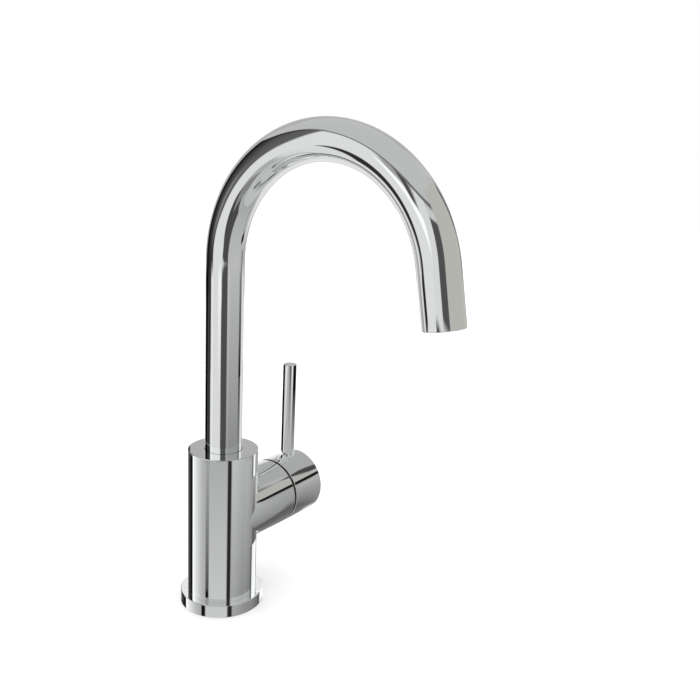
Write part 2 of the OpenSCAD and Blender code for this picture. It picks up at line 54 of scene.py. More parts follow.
# How finely pieces are turned, drilled and bent, and up to which angle an edge is shaded smooth
AROUND = 256
AROUND_SMALL = 128
AROUND_SCREW = 64
AROUND_BORE = 48
AROUND_PIN = 32
BEND_STEPS = 240
ARC_STEPS = 5
WELD = 0.002 * MM
SMOOTH_ANGLE = math.radians(28)

# Turns that point a shape drawn along Z another way
Z_TO_X = Matrix.Rotation(math.radians(90), 4, "Y")
Z_TO_Y = Matrix.Rotation(math.radians(-90), 4, "X")
Z_DOWN = Matrix.Rotation(math.radians(180), 4, "X")

# Hidden sizes that two pieces share
SLIP = 0.05 * MM
RING_SEAT_R = 21 * MM
RING_SEAT_DEPTH = 2.6 * MM
NUT_R = 19 * MM
CAP_HOLLOW_R = 20.5 * MM
STOP_SCREW_Z = 97.7 * MM
SET_SCREW_X = 11.3 * MM


# Sizes and colours that a user may change

def size(name, description, mm):
    return bpy.props.FloatProperty(name=name, description=description, default=mm * MM, min=0.0,
                                   unit="LENGTH", subtype="DISTANCE", precision=5)


def share(name, description, value):
    return bpy.props.FloatProperty(name=name, description=description, default=value, min=0.0, max=1.0,
                                   subtype="FACTOR")


def text(name, description, value):
    return bpy.props.StringProperty(name=name, description=description, default=value)


class FAUCET_PG_body(bpy.types.PropertyGroup):
    base_r: size("Base ring radius", "Outside radius of the base ring", 28.8)
    base_h: size("Base ring height", "Height of the base ring above the deck", 8.6)
    base_bore_r: size("Base ring bore", "Radius of the hole through the base ring", 17.5)
    body_r: size("Barrel radius", "Outside radius of the barrel, the housing and the handle cap", 24.0)
    body_top: size("Barrel height", "Height of the barrel's top face above the deck", 112.7)
    handle_z: size("Handle height", "Height of the handle's axis above the deck", 64.1)
    housing_len: size("Housing length", "Distance from the barrel's axis to the end of the housing", 51.3)
    edge_break: size("Edge break", "Radius of the outside edges", 0.4)


class FAUCET_PG_handle(bpy.types.PropertyGroup):
    gap: size("Handle gap", "Gap between the housing and the handle cap", 2.0)
    cap_len: size("Cap length", "Length of the handle cap", 29.8)
    lever_offset: size("Lever offset", "Distance from the cap's inner face to the lever's axis", 17.5)
    lever_r: size("Lever radius", "Radius of the upright lever", 5.0)
    lever_rise: size("Lever height", "Height of the lever's top above the cap", 71.1)
    lever_seat: size("Lever seat", "Depth that the lever sits in the cap", 8.0)


class FAUCET_PG_spout(bpy.types.PropertyGroup):
    tube_r: size("Tube radius", "Outside radius of the spout's tube", 12.7)
    tube_wall: size("Tube wall", "Wall of the spout's tube", 1.2)
    foot_z: size("Tube foot", "Height of the tube's lower end, inside the barrel", 106.1)
    bend_z: size("Bend height", "Height of the bend's centre above the deck", 241.8)
    bend_r: size("Bend radius", "Radius of the bend along the tube's centre line", 78.7)
    bend_angle: bpy.props.FloatProperty(name="Bend angle", description="Angle of the bend",
                                        default=math.radians(169.7), unit="ROTATION", subtype="ANGLE")
    tip_len: size("Tip length", "Length of the straight end after the bend", 34.7)
    aerator_r: size("Aerator radius", "Radius of the aerator's thread in the tip", 10.75)


class FAUCET_PG_finish(bpy.types.PropertyGroup):
    chrome: text("Chrome", "Colour of the polished chrome plate, as sRGB hex", "C4C5C5")
    chrome_roughness: share("Chrome roughness", "Mean roughness of the polished chrome plate", 0.03)
    floor: text("Floor", "Colour of the studio floor, as sRGB hex", "FBFBFB")


GROUPS = {"faucet_body": FAUCET_PG_body, "faucet_handle": FAUCET_PG_handle,
          "faucet_spout": FAUCET_PG_spout, "faucet_finish": FAUCET_PG_finish}


# Modelling, as by hand: an outline is drawn from one corner, spun, drilled and smoothed

def deselect():
    """Leaves edit mode and lets go of every piece."""
    if bpy.context.mode != "OBJECT":
        bpy.ops.object.mode_set(mode="OBJECT")
    bpy.ops.object.select_all(action="DESELECT")


def take(piece):
    """Selects one piece alone and makes it the active one."""
    deselect()
    piece.select_set(True)
    bpy.context.view_layer.objects.active = piece


def rounded(corners):
    """Rounds each corner (r, z, radius) of an outline and gives the points (r, z)."""
    points = []
    for i, corner in enumerate(corners):
        here = Vector(corner[:2])
        radius = corner[2] if len(corner) > 2 else 0
        if not radius:
            points.append(here)
            continue
        back = (Vector(corners[i - 1][:2]) - here).normalized()
        ahead = (Vector(corners[(i + 1) % len(corners)][:2]) - here).normalized()
        half = back.angle(ahead) / 2
        centre = here + (back + ahead).normalized() * radius / math.sin(half)
        start = here + back * radius / math.tan(half) - centre
        sweep = start.angle_signed(here + ahead * radius / math.tan(half) - centre)
        for step in range(ARC_STEPS + 1):
            points.append(centre + Matrix.Rotation(-sweep * step / ARC_STEPS, 2) @ start)
    return points


def turned(name, outline, around=AROUND, closed=False):
    """Draws an outline of points (r, z) in the plane y = 0 and spins it round Z, as on a lathe."""
    deselect()
    bpy.ops.mesh.primitive_plane_add(size=MM)
    piece = bpy.context.object
    piece.name = name
    piece.data.name = name
    bpy.ops.object.mode_set(mode="EDIT")
    bpy.ops.mesh.merge(type="CENTER")
    points = list(outline) + ([outline[0]] if closed else [])
    bpy.ops.transform.translate(value=(points[0][0], 0, points[0][1]))
    for here, there in zip(points, points[1:]):
        step = (there[0] - here[0], 0, there[1] - here[1])
        bpy.ops.mesh.extrude_vertices_move(TRANSFORM_OT_translate={"value": step})
    bpy.ops.mesh.select_all(action="SELECT")
    bpy.ops.mesh.remove_doubles(threshold=WELD)
    bpy.ops.mesh.spin(steps=around, angle=2 * math.pi, center=(0, 0, 0), axis=(0, 0, 1),
                      use_auto_merge=True)
    bpy.ops.mesh.select_all(action="SELECT")
    bpy.ops.mesh.remove_doubles(threshold=WELD)
    bpy.ops.mesh.normals_make_consistent(inside=False)
    bpy.ops.object.mode_set(mode="OBJECT")
    return piece


def rod(radius, start, length, around=AROUND_BORE):
    """A cutter: a straight round bar along Z."""
    end = start + length
    return turned("cutter", [(0, start), (radius, start), (radius, end), (0, end)], around)


def place(piece, matrix):
    """Moves a piece and puts its place into its mesh."""
    take(piece)
    piece.matrix_world = matrix
    bpy.ops.object.transform_apply(location=True, rotation=True, scale=True)
    return piece


def along_x(z, x=0.0):
    """Lays a shape drawn along Z on the X direction, at a height and from a place along X."""
    return Matrix.Translation((x, 0, z)) @ Z_TO_X


def combine(piece, other, operation):
    """Joins another solid to a piece or cuts it away, and deletes the other."""
    take(piece)
    change = piece.modifiers.new("combine", "BOOLEAN")
    change.operation = operation
    change.solver = "EXACT"
    change.object = other
    bpy.ops.object.modifier_apply(modifier=change.name)
    bpy.data.objects.remove(other)
    if not piece.data.polygons:
        raise RuntimeError(f"the cut left nothing of {piece.name}")
    return piece


def drill(piece, cutter, matrix=None):
    """Cuts a piece with a cutter, which is moved to its place first."""
    if matrix is not None:
        place(cutter, matrix)
    return combine(piece, cutter, "DIFFERENCE")


def drawn_up(start, length):
    """Draws the flat face just added up into a bar along Z."""
    bpy.ops.object.mode_set(mode="EDIT")
    bpy.ops.transform.translate(value=(0, 0, start))
    bpy.ops.mesh.extrude_region_move(TRANSFORM_OT_translate={"value": (0, 0, length)})
    bpy.ops.mesh.select_all(action="SELECT")
    bpy.ops.mesh.normals_make_consistent(inside=False)
    bpy.ops.object.mode_set(mode="OBJECT")
    return bpy.context.object


def hexagon(across, start, length):
    """A cutter: a hexagonal bar along Z, for a screw's key."""
    deselect()
    corner_r = across / 2 / math.cos(math.radians(30))
    bpy.ops.mesh.primitive_circle_add(vertices=6, radius=corner_r, fill_type="NGON")
    return drawn_up(start, length)


def square_bar(width, start, length):
    """A cutter: a square bar along Z."""
    deselect()
    bpy.ops.mesh.primitive_plane_add(size=width)
    return drawn_up(start, length)


def crease(piece, is_crease):
    """Marks the edges whose two ends both lie on a crease."""
    take(piece)
    mesh = piece.data
    on_crease = [is_crease(vertex.co) for vertex in mesh.vertices]
    bpy.ops.object.mode_set(mode="EDIT")
    bpy.ops.mesh.select_mode(type="EDGE")
    bpy.ops.mesh.select_all(action="DESELECT")
    bpy.ops.object.mode_set(mode="OBJECT")
    for edge in mesh.edges:
        edge.select = on_crease[edge.vertices[0]] and on_crease[edge.vertices[1]]
    bpy.ops.object.mode_set(mode="EDIT")
    bpy.ops.mesh.mark_sharp()
    bpy.ops.mesh.select_mode(type="VERT")
    bpy.ops.object.mode_set(mode="OBJECT")


def smooth(piece, weighted=True):
    """Shades a piece smooth between its edges; large faces stay true."""
    take(piece)
    bpy.ops.object.shade_smooth_by_angle(angle=SMOOTH_ANGLE, keep_sharp_edges=True)
    if weighted:
        change = piece.modifiers.new("true faces", "WEIGHTED_NORMAL")
        change.keep_sharp = True
        bpy.ops.object.modifier_apply(modifier=change.name)
    return piece


def finish(piece, body, slot, node):
    """Gives a piece its finish, the CAD body it rides on and the node it stands for."""
    piece.data.materials.clear()
    piece.data.materials.append(material_for(slot))
    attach(piece, body)
    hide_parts(node)
    deselect()


# Materials, each from what the real one is

def linear(hex_colour):
    """An sRGB hex colour as linear RGBA."""
    channels = [int(hex_colour[i:i + 2], 16) / 255 for i in (0, 2, 4)]
    return [value / 12.92 if value <= 0.04045 else ((value + 0.055) / 1.055) ** 2.4
            for value in channels] + [1.0]


def add(tree, kind, sockets=None, **settings):
    """Adds a node with its settings; sockets hold values, hex colours or other nodes' outputs."""
    node = tree.nodes.new(kind)
    for key, value in settings.items():
        setattr(node, key, value)
    for key, value in (sockets or {}).items():
        if isinstance(value, bpy.types.NodeSocket):
            tree.links.new(value, node.inputs[key])
        else:
            node.inputs[key].default_value = linear(value) if isinstance(value, str) else value
    return node


def new_material(name):
    """A material with an empty tree, its Principled shader and its output."""
    material = bpy.data.materials.new(name)
    material.use_nodes = True
    tree = material.node_tree
    tree.nodes.clear()
    shader = add(tree, "ShaderNodeBsdfPrincipled")
    add(tree, "ShaderNodeOutputMaterial", {"Surface": shader.outputs["BSDF"]})
    where = add(tree, "ShaderNodeTexCoord").outputs["Object"]
    return material, tree, shader, where


def grain(tree, where, size_mm, low, high):
    """Noise of a real size in millimetres, spread between two values."""
    noise = add(tree, "ShaderNodeTexNoise", {"Vector": where, "Scale": 1 / MM / size_mm, "Detail": 3.0})
    return add(tree, "ShaderNodeMapRange", {
        "Value": noise.outputs["Fac"], "From Min": 0.3, "From Max": 0.7,
        "To Min": low, "To Max": high}).outputs["Result"]


def tinted(tree, where, size_mm, dark, light):
    """Two close tones of one colour, mixed by noise of a real size."""
    amount = grain(tree, where, size_mm, 0.0, 1.0)
    return add(tree, "ShaderNodeMix", {0: amount, 6: dark, 7: light}, data_type="RGBA").outputs[2]


def roughen(tree, shader, height, depth_mm):
    """Gives the shader's surface relief of a real depth in millimetres."""
    relief = add(tree, "ShaderNodeBump", {"Height": height, "Distance": depth_mm * MM})
    tree.links.new(relief.outputs["Normal"], shader.inputs["Normal"])


def polished_chrome_plate():
    """Chrome plated on buffed brass: a mirror, with the faintest buffing haze."""
    finish_values = bpy.context.scene.faucet_finish
    material, tree, shader, where = new_material("polished_chrome_plate")
    shader.inputs["Metallic"].default_value = 1.0
    shader.inputs["Base Color"].default_value = linear(finish_values.chrome)
    mean = finish_values.chrome_roughness
    tree.links.new(grain(tree, where, 9.0, mean * 0.7, mean * 1.3), shader.inputs["Roughness"])
    return material


def turned_brass():
    """Free-cutting brass as it leaves the lathe: warm, with fine feed marks drawn at 0.25 mm."""
    material, tree, shader, where = new_material("turned_brass")
    shader.inputs["Metallic"].default_value = 1.0
    tree.links.new(tinted(tree, where, 2.0, "C9A356", "DDBB70"), shader.inputs["Base Color"])
    tree.links.new(grain(tree, where, 0.8, 0.22, 0.34), shader.inputs["Roughness"])
    marks = add(tree, "ShaderNodeTexNoise", {"Vector": where, "Scale": 1 / MM / 0.25, "Detail": 1.0})
    roughen(tree, shader, marks.outputs["Fac"], 0.01)
    return material


def stainless_steel():
    """Stainless steel of small screws and wire cloth: cool grey, satin from rolling."""
    material, tree, shader, where = new_material("stainless_steel")
    shader.inputs["Metallic"].default_value = 1.0
    tree.links.new(tinted(tree, where, 0.7, "A9A8A5", "BDBCB8"), shader.inputs["Base Color"])
    tree.links.new(grain(tree, where, 0.4, 0.25, 0.4), shader.inputs["Roughness"])
    return material


def moulded_rubber():
    """EPDM rubber of seals and gaskets: nearly black and dull, with a fine moulded tooth."""
    material, tree, shader, where = new_material("moulded_rubber")
    tree.links.new(tinted(tree, where, 1.2, "171718", "232324"), shader.inputs["Base Color"])
    tree.links.new(grain(tree, where, 0.6, 0.68, 0.85), shader.inputs["Roughness"])
    tooth = grain(tree, where, 0.3, 0.0, 1.0)
    roughen(tree, shader, tooth, 0.02)
    return material


def lapped_ceramic():
    """Alumina of valve discs, lapped flat: ivory white with a silky gloss."""
    material, tree, shader, where = new_material("lapped_ceramic")
    tree.links.new(tinted(tree, where, 0.5, "E6E1D3", "F1EDE2"), shader.inputs["Base Color"])
    tree.links.new(grain(tree, where, 0.5, 0.12, 0.2), shader.inputs["Roughness"])
    shader.inputs["IOR"].default_value = 1.76
    return material


def moulded_plastic(name, dark, light, roughness):
    """Acetal or ABS from a lightly textured mould: even colour, soft sheen, tiny pits."""
    material, tree, shader, where = new_material(name)
    tree.links.new(tinted(tree, where, 3.0, dark, light), shader.inputs["Base Color"])
    tree.links.new(grain(tree, where, 1.0, roughness * 0.9, roughness * 1.1), shader.inputs["Roughness"])
    shader.inputs["IOR"].default_value = 1.48
    pits = grain(tree, where, 0.35, 0.0, 1.0)
    roughen(tree, shader, pits, 0.008)
    return material


def studio_floor():
    """Matt white board that the faucet stands on."""
    material, tree, shader, where = new_material("studio_board")
    shade = tinted(tree, where, 40.0, "F7F7F7", bpy.context.scene.faucet_finish.floor)
    tree.links.new(shade, shader.inputs["Base Color"])
    tree.links.new(grain(tree, where, 5.0, 0.85, 0.95), shader.inputs["Roughness"])
    return material


FINISHES = {
    "chrome": polished_chrome_plate,
    "brass": turned_brass,
    "steel": stainless_steel,
    "rubber": moulded_rubber,
    "ceramic": lapped_ceramic,
    "black_plastic": lambda: moulded_plastic("black_acetal", "0A0A0B", "121214", 0.45),
    "white_plastic": lambda: moulded_plastic("white_acetal", "DEDED9", "EAEAE6", 0.38),
    "grey_plastic": lambda: moulded_plastic("grey_abs", "8D8F91", "9C9EA0", 0.36),
    "green_plastic": lambda: moulded_plastic("green_acetal", "2F8F62", "3BA573", 0.4),
}
made = {}


def material_for(slot):
    """The finish of one of the record's slots, made once."""
    if slot not in made:
        made[slot] = FINISHES[slot]()
    return made[slot]


# One operator for each piece or group of like pieces

class FAUCET_OT_base_ring(bpy.types.Operator):
    """Turns the chromed base ring, with its groove and the recess for the barrel"""
    bl_idname = "faucet.base_ring"
    bl_label = "Base Ring"

    def execute(self, context):
        body = context.scene.faucet_body
        groove_out = body.base_r - 2.25 * MM
        groove_in = groove_out - 4.8 * MM
        groove_depth = 2 * MM
        recess_r = 21 * MM
        recess_z = body.base_h - 4.6 * MM
        outline = rounded([
            (body.base_bore_r, 0, 0.2 * MM), (groove_in, 0, 0.1 * MM), (groove_in, groove_depth),
            (groove_out, groove_depth), (groove_out, 0, 0.1 * MM), (body.base_r, 0, 0.2 * MM),
            (body.base_r, body.base_h, body.edge_break), (recess_r, body.base_h, 0.15 * MM),
            (recess_r, recess_z), (body.base_bore_r, recess_z, 0.2 * MM)])
        ring = smooth(turned("base_ring_turned", outline, closed=True))
        finish(ring, "faucet_body", "chrome", "base_ring")
        return {"FINISHED"}


class FAUCET_OT_body(bpy.types.Operator):
    """Turns the barrel and the side housing, joins them at a mitre and drills them"""
    bl_idname = "faucet.body"
    bl_label = "Body"

    def execute(self, context):
        body = context.scene.faucet_body
        cartridge_x = body.housing_len - 35.8 * MM
        barrel = self.solid(body)
        self.drill_seats(barrel, body, cartridge_x)
        self.drill_holes(barrel, body, cartridge_x)
        smooth(barrel)
        finish(barrel, "faucet_body", "chrome", "body")
        return {"FINISHED"}

    def solid(self, body):
        """The barrel on its spigot, joined to the housing, with a sharp mitre between them."""
        spigot_r, spigot_z = 20.9 * MM, body.base_h - 4.3 * MM
        barrel = turned("body_turned", rounded([
            (0, spigot_z), (spigot_r, spigot_z, 0.3 * MM), (spigot_r, body.base_h),
            (body.body_r, body.base_h, 0.12 * MM), (body.body_r, body.body_top, body.edge_break),
            (0, body.body_top)]))
        housing = turned("housing", rounded([
            (0, 0), (body.body_r, 0), (body.body_r, body.housing_len, body.edge_break),
            (0, body.housing_len)]))
        place(housing, along_x(body.handle_z))
        combine(barrel, housing, "UNION")
        crease(barrel, lambda at: abs(at.x - abs(at.z - body.handle_z)) < 0.01 * MM
               and math.hypot(at.x, at.y) > body.body_r - 0.1 * MM)
        return barrel

    def drill_seats(self, barrel, body, cartridge_x):
        """Cuts the recess underneath, the spout's bore and the cartridge's stepped seat."""
        recess_r, recess_depth = 16.5 * MM, 16 * MM
        drill(barrel, rod(recess_r, 0, recess_depth, AROUND_SMALL))
        spout_r, spout_z = 13 * MM, 81.8 * MM
        drill(barrel, rod(spout_r, spout_z, 40 * MM, AROUND_SMALL))
        cartridge_r, nut_x = 17.8 * MM, cartridge_x + 23 * MM
        ring_x, past_end = body.housing_len - RING_SEAT_DEPTH, body.housing_len + 2 * MM
        seat = turned("cutter", [
            (0, cartridge_x), (cartridge_r, cartridge_x), (cartridge_r, nut_x), (NUT_R, nut_x),
            (NUT_R, ring_x), (RING_SEAT_R, ring_x), (RING_SEAT_R, past_end), (0, past_end)], AROUND_SMALL)
        drill(barrel, seat, along_x(body.handle_z))

    def drill_holes(self, barrel, body, cartridge_x):
        """Drills for the stud, the two supplies, the cartridge's pins, the outlet and the stop screw."""
        hole_top = 28 * MM
        stud_r, stud_x = 4 * MM, 10 * MM
        drill(barrel, rod(stud_r, 0, hole_top), Matrix.Translation((stud_x, 0, 0)))
        socket_r, supply_x, supply_side = 5 * MM, -3 * MM, 9.2 * MM
        passage_r, passage_z = 3.25 * MM, 20 * MM
        inlet_r, inlet_x, inlet_z = 3 * MM, -6 * MM, body.handle_z - 4 * MM
        pin_r, pin_side, pin_z = 1.55 * MM, 11 * MM, body.handle_z + 6 * MM
        for side in (-1, 1):
            supply = Matrix.Translation((supply_x, side * supply_side, 0))
            drill(barrel, rod(socket_r, 0, hole_top), supply)
            drill(barrel, rod(passage_r, passage_z, inlet_z - passage_z), supply)
            inlet = Matrix.Translation((0, side * supply_side, 0)) @ along_x(inlet_z)
            drill(barrel, rod(inlet_r, inlet_x, cartridge_x + MM - inlet_x), inlet)
            pin = Matrix.Translation((0, side * pin_side, 0)) @ along_x(pin_z)
            drill(barrel, rod(pin_r, cartridge_x - 2.5 * MM, 4 * MM, AROUND_PIN), pin)
        riser_r, outlet_r, screw_r = 4.05 * MM, 3.8 * MM, 2.55 * MM
        drill(barrel, rod(riser_r, body.handle_z, 20 * MM))
        drill(barrel, rod(outlet_r, -outlet_r, cartridge_x + 5 * MM), along_x(body.handle_z))
        stop_screw = Matrix.Translation((0, 0, STOP_SCREW_Z)) @ Z_TO_Y
        drill(barrel, rod(screw_r, 0, body.body_r + MM), stop_screw)


class FAUCET_OT_handle_cap(bpy.types.Operator):
    """Turns the handle cap, hollows it round its hub and drills it for lever and screw"""
    bl_idname = "faucet.handle_cap"
    bl_label = "Handle Cap"

    def execute(self, context):
        body, handle = context.scene.faucet_body, context.scene.faucet_handle
        cap_x = body.housing_len + handle.gap
        hub_r = 10 * MM
        hollow_depth = handle.lever_offset - handle.lever_r - 3.8 * MM
        cap = turned("handle_cap_turned", rounded([
            (0, 0), (hub_r, 0, 0.3 * MM), (hub_r, hollow_depth), (CAP_HOLLOW_R, hollow_depth),
            (CAP_HOLLOW_R, 0, 0.15 * MM), (body.body_r, 0, body.edge_break),
            (body.body_r, handle.cap_len, body.edge_break), (0, handle.cap_len)]))
        place(cap, along_x(body.handle_z, cap_x))
        square_width, square_depth = 8.1 * MM, 14 * MM
        drill(cap, square_bar(square_width, -MM, square_depth + MM), along_x(body.handle_z, cap_x))
        lever_at = Matrix.Translation((cap_x + handle.lever_offset, 0, 0))
        seat_z = body.handle_z + body.body_r - handle.lever_seat
        stud_r, stud_z = 3 * MM, seat_z - 7.3 * MM
        drill(cap, rod(handle.lever_r + SLIP, seat_z, 20 * MM, AROUND_SMALL), lever_at)
        drill(cap, rod(stud_r, stud_z, 10 * MM), lever_at)
        screw_r = 2 * MM
        below = body.handle_z - body.body_r - MM
        drill(cap, rod(screw_r, below, body.handle_z - below, AROUND_SCREW),
              Matrix.Translation((cap_x + SET_SCREW_X, 0, 0)))
        smooth(cap)
        finish(cap, "handle", "chrome", "handle_cap")
        return {"FINISHED"}


class FAUCET_OT_lever(bpy.types.Operator):
    """Turns the upright lever pin with its threaded stud"""
    bl_idname = "faucet.lever"
    bl_label = "Lever"

    def execute(self, context):
        body, handle = context.scene.faucet_body, context.scene.faucet_handle
        foot = body.handle_z + body.body_r - handle.lever_seat
        top = body.handle_z + body.body_r + handle.lever_rise
        stud_r, stud_foot = 2.95 * MM, foot - 7 * MM
        lever = turned("lever_turned", rounded([
            (0, stud_foot), (stud_r, stud_foot, 0.3 * MM), (stud_r, foot),
            (handle.lever_r, foot, 0.1 * MM), (handle.lever_r, top, body.edge_break), (0, top)]),
            AROUND_SMALL)
        place(lever, Matrix.Translation((body.housing_len + handle.gap + handle.lever_offset, 0, 0)))
        smooth(lever)
        finish(lever, "handle", "chrome", "lever_pin")
        return {"FINISHED"}


class FAUCET_OT_spout(bpy.types.Operator):
    """Bends the spout's tube: a circle drawn up the stem, then spun round the bend's centre"""
    bl_idname = "faucet.spout"
    bl_label = "Spout Tube"

    def execute(self, context):
        spout = context.scene.faucet_spout
        deselect()
        bpy.ops.mesh.primitive_circle_add(vertices=AROUND_SMALL, radius=spout.tube_r, fill_type="NOTHING")
        tube = context.object
        tube.name = "spout_tube_bent"
        tube.data.name = "spout_tube_bent"
        bpy.ops.object.mode_set(mode="EDIT")
        bpy.ops.mesh.select_all(action="SELECT")
        bpy.ops.transform.translate(value=(0, 0, spout.foot_z))
        for step in (spout.bend_z - spout.foot_z - MM, MM):
            bpy.ops.mesh.extrude_edges_move(TRANSFORM_OT_translate={"value": (0, 0, step)})
        bpy.ops.mesh.spin(steps=BEND_STEPS, angle=spout.bend_angle,
                          center=(0, -spout.bend_r, spout.bend_z), axis=(-1, 0, 0))
        bpy.ops.mesh.select_all(action="SELECT")
        bpy.ops.mesh.remove_doubles(threshold=WELD)
        bpy.ops.mesh.normals_make_consistent(inside=False)
        bpy.ops.object.mode_set(mode="OBJECT")
        wall = tube.modifiers.new("wall", "SOLIDIFY")
        wall.thickness = spout.tube_wall
        wall.offset = -1
        wall.use_even_offset = True
        bpy.ops.object.modifier_apply(modifier=wall.name)
        smooth(tube, weighted=False)
        finish(tube, "spout", "chrome", "spout_tube")
        return {"FINISHED"}


def past_bend(spout):
    """Where the bend ends; local Z runs on with the water."""
    centre = Matrix.Translation((0, -spout.bend_r, spout.bend_z))
    return centre @ Matrix.Rotation(spout.bend_angle, 4, "X") @ Matrix.Translation((0, spout.bend_r, 0))


class FAUCET_OT_outlet_tip(bpy.types.Operator):
    """Turns the straight end of the spout, which carries on flush from the tube"""
    bl_idname = "faucet.outlet_tip"
    bl_label = "Outlet Tip"

    def execute(self, context):
        body, spout = context.scene.faucet_body, context.scene.faucet_spout
        seat = spout.tip_len - 12 * MM
        bore_r = 9.4 * MM
        spigot = 4 * MM
        spigot_r = spout.tube_r - spout.tube_wall - SLIP - spigot ** 2 / (2 * spout.bend_r)
        tip = turned("outlet_tip_turned", rounded([
            (bore_r, -spigot), (spigot_r, -spigot, 0.1 * MM), (spigot_r, 0), (spout.tube_r, 0),
            (spout.tube_r, spout.tip_len, body.edge_break), (spout.aerator_r, spout.tip_len, 0.2 * MM),
            (spout.aerator_r, seat), (bore_r, seat)]), AROUND_SMALL, closed=True)
        place(tip, past_bend(spout))
        smooth(tip)
        finish(tip, "spout", "chrome", "outlet_tip")
        return {"FINISHED"}


class FAUCET_OT_aerator(bpy.types.Operator):
    """Turns the aerator's sleeve and cuts the four slots for its key"""
    bl_idname = "faucet.aerator"
    bl_label = "Aerator Sleeve"

    def execute(self, context):
        spout = context.scene.faucet_spout
        top, face = spout.tip_len - 10.5 * MM, spout.tip_len - 0.8 * MM
        out_r = spout.aerator_r - SLIP
        in_r = out_r - 1.55 * MM
        lip = 0.8 * MM
        sleeve = turned("aerator_sleeve_turned", rounded([
            (in_r, top, 0.1 * MM), (out_r, top, 0.2 * MM), (out_r, face, 0.25 * MM),
            (in_r - lip, face, 0.15 * MM), (in_r - lip, face - lip, 0.1 * MM), (in_r, face - lip)]),
            AROUND_SMALL, closed=True)
        slot_width, slot_depth, slot_run = 2 * MM, 0.6 * MM, 30 * MM
        for angle in (0, 90):
            bar = square_bar(slot_width, face - slot_depth, 2 * MM)
            take(bar)
            bar.scale = (slot_run / slot_width, 1, 1)
            bpy.ops.object.transform_apply(location=False, rotation=False, scale=True)
            drill(sleeve, bar, Matrix.Rotation(math.radians(angle), 4, "Z"))
        place(sleeve, past_bend(spout))
        smooth(sleeve)
        finish(sleeve, "spout", "grey_plastic", "aerator_housing")
        return {"FINISHED"}


class FAUCET_OT_glide_ring(bpy.types.Operator):
    """Turns the black glide ring that shows in the gap between housing and cap"""
    bl_idname = "faucet.glide_ring"
    bl_label = "Glide Ring"

    def execute(self, context):
        body, handle = context.scene.faucet_body, context.scene.faucet_handle
        seat_r, collar_r = RING_SEAT_R - SLIP, CAP_HOLLOW_R - SLIP
        out_r = body.body_r - 1.2 * MM
        wall = 1.45 * MM
        low = SLIP - RING_SEAT_DEPTH
        flange, collar = handle.gap - 0.15 * MM, handle.gap + 2.6 * MM
        ring = turned("glide_ring_moulded", rounded([
            (NUT_R, low), (seat_r, low, 0.15 * MM), (seat_r, 0), (out_r, 0, 0.2 * MM),
            (out_r, flange, 0.2 * MM), (collar_r, flange), (collar_r, collar, 0.15 * MM),
            (collar_r - wall, collar)]), closed=True)
        place(ring, along_x(body.handle_z, body.housing_len))
        smooth(ring)
        finish(ring, "faucet_body", "black_plastic", "glide_ring")
        return {"FINISHED"}


class FAUCET_OT_screws(bpy.types.Operator):
    """Turns the two grub screws with their key sockets and the plug under the cap"""
    bl_idname = "faucet.screws"
    bl_label = "Screws and Plug"

    def execute(self, context):
        body, handle = context.scene.faucet_body, context.scene.faucet_handle
        self.stop_screw(body)
        screw_x = body.housing_len + handle.gap + SET_SCREW_X
        in_cap = Matrix.Translation((screw_x, 0, body.handle_z)) @ Z_DOWN
        self.set_screw(in_cap)
        self.plug(body, in_cap)
        return {"FINISHED"}

    def stop_screw(self, body):
        """The screw in the back of the barrel, whose thin tip stops the spout's swing."""
        screw_r, tip_r = 2.5 * MM, 1.6 * MM
        head, foot, tip_end = body.body_r - 0.6 * MM, 13.3 * MM, 10.8 * MM
        screw = turned("stop_screw_turned", rounded([
            (0, tip_end), (tip_r, tip_end, 0.2 * MM), (tip_r, foot), (screw_r, foot, 0.3 * MM),
            (screw_r, head, 0.3 * MM), (0, head)]), AROUND_SCREW)
        drill(screw, hexagon(2.5 * MM, head - 2.4 * MM, 4 * MM))
        place(screw, Matrix.Translation((0, 0, STOP_SCREW_Z)) @ Z_TO_Y)
        smooth(screw)
        finish(screw, "faucet_body", "steel", "spout_stop_screw")

    def set_screw(self, in_cap):
        """The screw that clamps the cap on the cartridge's spindle."""
        screw_r, foot, head = 1.95 * MM, 4.05 * MM, 12.05 * MM
        screw = turned("set_screw_turned", rounded([
            (0, foot), (screw_r, foot, 0.3 * MM), (screw_r, head, 0.2 * MM), (0, head)]), AROUND_SCREW)
        drill(screw, hexagon(2 * MM, head - 2.4 * MM, 4 * MM))
        place(screw, in_cap)
        smooth(screw)
        finish(screw, "handle", "steel", "handle_set_screw")

    def plug(self, body, in_cap):
        """The plug that closes the set screw's hole."""
        plug_r, face = 1.95 * MM, body.body_r - 0.15 * MM
        back = face - 3.4 * MM
        plug = turned("plug_turned", rounded([
            (0, back), (plug_r, back, 0.3 * MM), (plug_r, face, 0.15 * MM), (0, face)]), AROUND_SCREW)
        place(plug, in_cap)
        smooth(plug)
        finish(plug, "handle", "chrome", "handle_plug")


class FAUCET_OT_inner_parts(bpy.types.Operator):
    """Gives each CAD part that stays its real material"""
    bl_idname = "faucet.inner_parts"
    bl_label = "Inner Parts"

    def execute(self, context):
        for part in frame["record"]["subparts"]:
            node = frame["nodes"][part["node"]]
            material = material_for(part["material_slot"])
            if not node.material_slots:
                node.data.materials.append(material)
            for slot in node.material_slots:
                slot.material = material
        return {"FINISHED"}


# The studio: what stands round the faucet is only seen in the chrome; its glowing cards light nothing and
# are painted reflections

CAMERA_AT = Vector((-388.37, -363.41, 311.95)) * MM
CAMERA_AIM = Vector((0.80569, 0.54454, -0.23307))
CAMERA_ROLL = math.radians(2.74)
CAMERA_HEADING = 34.05
FULL_TURN = 360.0
LENS_MM = 41.72
SENSOR_MM = 36.0
FLOOR_SIZE = 8.0
CARD_SIDES = 192

# How much light polished chrome gives back, and the light of the dome and of the room in it
CHROME_F0 = 0.55
DOME_LIGHT = 1.5
ROOM = "B8B8B8"
LOW_ROOM = "BABABA"

